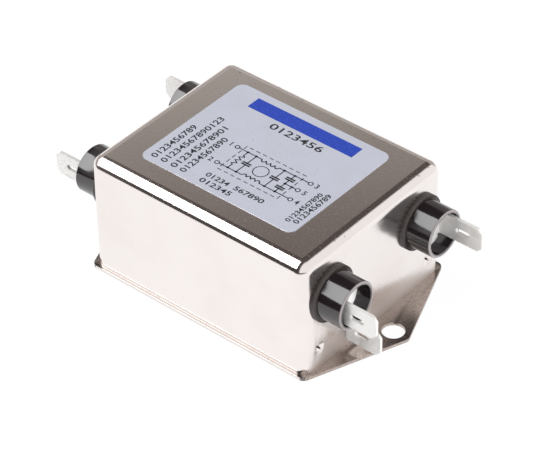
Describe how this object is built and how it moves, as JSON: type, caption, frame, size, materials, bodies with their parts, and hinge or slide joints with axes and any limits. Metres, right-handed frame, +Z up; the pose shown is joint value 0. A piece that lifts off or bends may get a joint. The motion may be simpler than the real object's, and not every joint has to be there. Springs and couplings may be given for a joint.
{
  "type": "rfi filter",
  "caption": "Chassis mains RFI filter: a plated steel can on an eared base plate, with insulated push-on terminals at both ends and an earth tab.",
  "frame": {"origin": "middle of the base plate's underside", "axes": "+X along the terminals towards the end with the earth tab, +Y across the can, +Z up from the base plate to the label"},
  "size_m": [0.0954, 0.0516, 0.0323],
  "materials": {
    "can_steel": "nickel plated drawn steel, bright with a slight orange peel",
    "plate_steel": "nickel plated flat steel, bright",
    "label_foil": "satin silver foil, with a plain blue band",
    "bush_plastic": "moulded black, glossy",
    "tab_tin": "tin plated brass, satin",
    "rivet_steel": "tin plated, bright",
    "lug_tin": "tin plated brass",
    "washer_board": "phenolic board",
    "insulating_film": "polyester film",
    "nylon": "natural nylon",
    "board_laminate": "glass-epoxy laminate",
    "ferrite": "ferrite, coated",
    "copper_wire": "enamelled copper wire",
    "film_capacitor": "boxed film capacitor",
    "disc_capacitor": "dipped epoxy",
    "resistor_body": "lacquered",
    "earth_insulation": "PVC, green and yellow",
    "lead_insulation": "PVC"
  },
  "bodies": {
    "root": {"can": "can_steel", "base_plate": "plate_steel", "label": "label_foil", "bush_1": "bush_plastic", "bush_2": "bush_plastic", "bush_3": "bush_plastic", "bush_4": "bush_plastic", "tab_1": "tab_tin", "tab_2": "tab_tin", "tab_3": "tab_tin", "tab_4": "tab_tin", "earth_tab": "tab_tin", "terminal_rivets": "rivet_steel", "earth_rivet": "rivet_steel", "lug_1": "lug_tin", "lug_2": "lug_tin", "lug_3": "lug_tin", "lug_4": "lug_tin", "earth_lug": "lug_tin", "inner_washers": "washer_board", "insulating_sheet": "insulating_film", "board_spacers": "nylon", "choke_base": "nylon", "choke_divider": "nylon", "circuit_board": "board_laminate", "choke_core": "ferrite", "winding_1": "copper_wire", "winding_2": "copper_wire", "line_capacitor_1": "film_capacitor", "line_capacitor_2": "film_capacitor", "earth_capacitor_1": "disc_capacitor", "earth_capacitor_2": "disc_capacitor", "bleed_resistor": "resistor_body", "earth_wire": "earth_insulation", "lead_wire_1": "lead_insulation", "lead_wire_2": "lead_insulation", "lead_wire_3": "lead_insulation", "lead_wire_4": "lead_insulation"}
  },
  "joints": []
}
